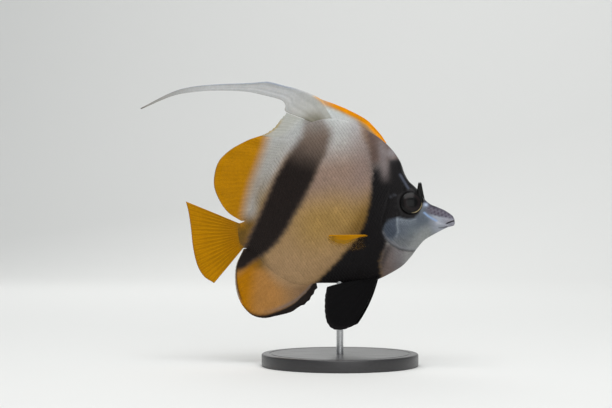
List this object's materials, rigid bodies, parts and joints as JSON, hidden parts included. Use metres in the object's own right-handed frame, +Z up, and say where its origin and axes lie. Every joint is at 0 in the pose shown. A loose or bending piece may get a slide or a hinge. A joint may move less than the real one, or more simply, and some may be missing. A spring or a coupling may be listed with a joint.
{
  "type": "red sea bannerfish model",
  "caption": "Deep-bodied reef fish with a long trailing dorsal banner, brow horns and dark slanting bands, posed nose-up on a round base with one short rod",
  "frame": {"origin": "centre of the stand base's underside", "axes": "+X the way the fish faces, +Z up, +Y to the fish's left"},
  "size_m": [0.2049, 0.1, 0.182],
  "materials": {
    "skin": "scaled skin, satin",
    "white_fin": "fin membrane and spines, satin",
    "yellow_fin": "rayed fin membrane, satin",
    "dark_fin": "black skin, satin",
    "eye": "wet, glossy",
    "stand_paint": "black satin lacquer",
    "stand_steel": "brushed"
  },
  "bodies": {
    "root": {"head": "skin", "torso": "skin", "tail_stalk": "skin", "eye_left": "eye", "eye_right": "eye", "horn_left": "dark_fin", "horn_right": "dark_fin", "dorsal_fin_front": "white_fin", "dorsal_banner": "white_fin", "dorsal_fin_middle": "white_fin", "dorsal_fin_soft": "yellow_fin", "anal_fin": "yellow_fin", "tail_fin": "yellow_fin", "pectoral_fin_left": "yellow_fin", "pectoral_fin_right": "yellow_fin", "pelvic_fin_left": "dark_fin", "pelvic_fin_right": "dark_fin", "stand_base": "stand_paint", "stand_rod": "stand_steel"}
  },
  "joints": []
}
